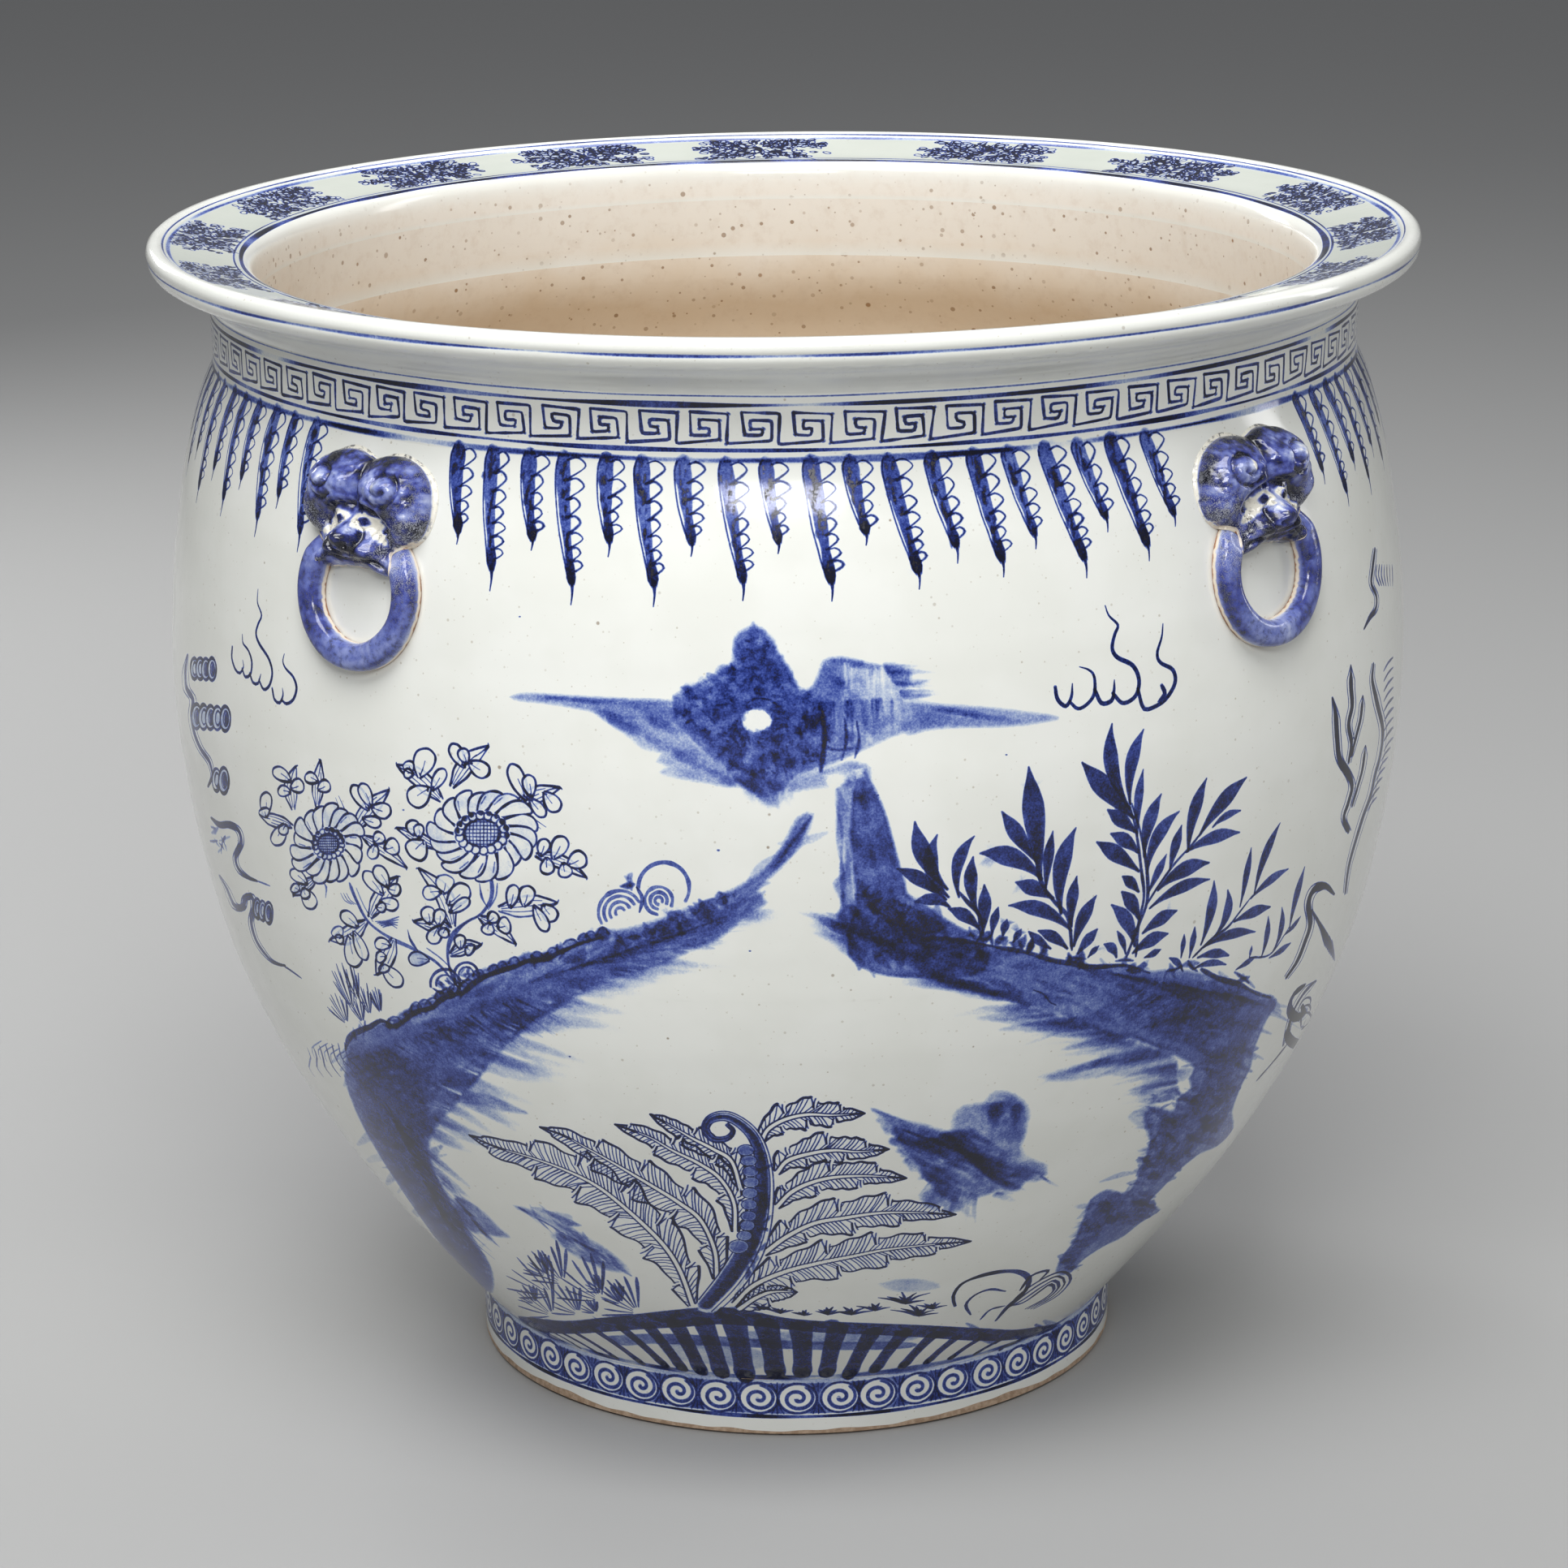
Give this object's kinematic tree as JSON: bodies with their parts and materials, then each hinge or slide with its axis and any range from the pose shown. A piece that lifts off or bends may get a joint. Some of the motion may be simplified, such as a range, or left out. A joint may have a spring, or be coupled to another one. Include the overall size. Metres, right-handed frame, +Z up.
{
  "type": "ceramic fish bowl jardiniere",
  "caption": "Large round blue-and-white ceramic fish bowl with a low foot ring, broad everted rim and lion masks with fixed rings on the shoulder.",
  "frame": {"origin": "centre of the foot ring's resting plane", "axes": "+Z up along the turning axis; -Y towards the painted front between two lion masks; +X to the right of that front"},
  "size_m": [0.56, 0.56, 0.517],
  "materials": {
    "painted_glaze": "glossy pale grey-green glaze over cobalt brush painting, cream glaze inside",
    "foot_glaze_and_clay": "glossy painted glaze, bare beige-brown clay at the resting edge",
    "cobalt_glaze": "glossy mottled cobalt blue glaze"
  },
  "bodies": {
    "root": {"foot_ring": "foot_glaze_and_clay", "lower_bowl": "painted_glaze", "upper_bowl": "painted_glaze", "neck_collar": "painted_glaze", "rim_flange": "painted_glaze", "lion_mask_front_left": "cobalt_glaze", "lion_mask_front_right": "cobalt_glaze", "lion_mask_back_right": "cobalt_glaze", "lion_mask_back_left": "cobalt_glaze", "ring_front_left": "cobalt_glaze", "ring_front_right": "cobalt_glaze", "ring_back_right": "cobalt_glaze", "ring_back_left": "cobalt_glaze"}
  },
  "joints": []
}
